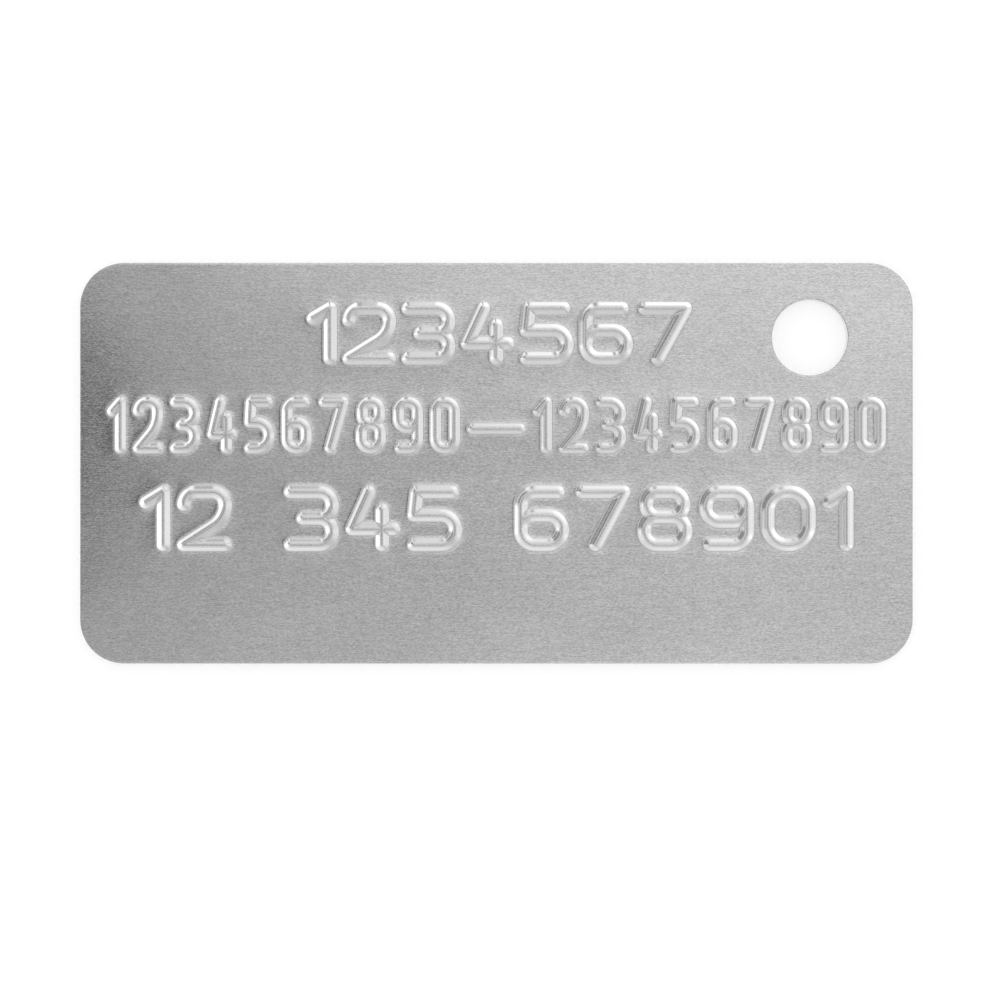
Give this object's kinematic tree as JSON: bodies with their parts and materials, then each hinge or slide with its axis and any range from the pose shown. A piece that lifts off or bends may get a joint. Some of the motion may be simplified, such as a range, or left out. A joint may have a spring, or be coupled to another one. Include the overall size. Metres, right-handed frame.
{
  "type": "ground code tag",
  "caption": "Flat sheet-metal tag with rounded corners, a hanging hole near one corner and rows of raised plain numbers pressed from behind.",
  "frame": {"origin": "centre of the tag's outline, on the plane of its flat back face", "axes": "+X along the tag's length, in the reading direction of the figures; +Y up across its width; +Z out of the front face, through the sheet's thickness"},
  "size_m": [0.0794, 0.0382, 0.0011],
  "materials": {
    "tag_sheet": "mill finish with rolling lines along the length, burnished on the pressed strokes"
  },
  "bodies": {
    "root": {"ground_tag": "tag_sheet"}
  },
  "joints": []
}
